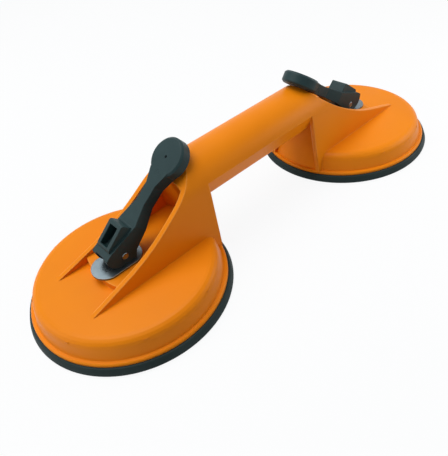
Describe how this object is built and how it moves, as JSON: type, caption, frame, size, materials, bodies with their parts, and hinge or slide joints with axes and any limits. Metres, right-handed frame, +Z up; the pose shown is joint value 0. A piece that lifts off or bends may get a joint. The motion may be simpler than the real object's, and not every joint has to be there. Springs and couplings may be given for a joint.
{
  "type": "double suction lifter",
  "caption": "Hand lifter for floor tiles: round suction bells joined by a hollow handle, each with a rubber pad, a draw stud and a cam lever.",
  "frame": {"origin": "on the floor, midway between the bell axes", "axes": "+X along the handle towards the right bell, +Y across the handle, +Z up from the floor"},
  "size_m": [0.317, 0.12, 0.0729],
  "materials": {
    "orange_moulding": "satin moulded plastic",
    "rubber": "matt moulded rubber",
    "lever_plastic": "satin glass-filled plastic",
    "plated_steel": "zinc plated",
    "spring_steel": "bright wire"
  },
  "bodies": {
    "lifter": {"lifter_body": "orange_moulding", "suction_pad_left": "rubber", "thrust_washer_left": "plated_steel", "return_spring_left": "spring_steel", "wear_plate_left": "plated_steel", "suction_pad_right": "rubber", "thrust_washer_right": "plated_steel", "return_spring_right": "spring_steel", "wear_plate_right": "plated_steel"},
    "stud_left": {"draw_stud_left": "plated_steel", "backing_disc_left": "plated_steel"},
    "lever_left": {"cam_lever_left": "lever_plastic", "lever_pin_left": "plated_steel"},
    "stud_right": {"draw_stud_right": "plated_steel", "backing_disc_right": "plated_steel"},
    "lever_right": {"cam_lever_right": "lever_plastic", "lever_pin_right": "plated_steel"}
  },
  "joints": [
    {"name": "stud_slide_left", "type": "slide", "parent": "lifter", "child": "stud_left", "axis": [0, 0, 1], "range_m": [0, 0.006], "deforming": ["return_spring_left"]},
    {"name": "lever_turn_left", "type": "hinge", "parent": "stud_left", "child": "lever_left", "pos_m": [-0.0985, 0, 0.029], "axis": [0, -1, 0], "range_deg": [0, 90]},
    {"name": "stud_slide_right", "type": "slide", "parent": "lifter", "child": "stud_right", "axis": [0, 0, 1], "range_m": [0, 0.006], "deforming": ["return_spring_right"]},
    {"name": "lever_turn_right", "type": "hinge", "parent": "stud_right", "child": "lever_right", "pos_m": [0.0985, 0, 0.029], "axis": [0, 1, 0], "range_deg": [0, 90]}
  ],
  "couplings": [
    {"joint": "stud_slide_left", "follows": "lever_turn_left", "m_per_rad": 0.003819},
    {"joint": "stud_slide_right", "follows": "lever_turn_right", "m_per_rad": 0.003819}
  ]
}
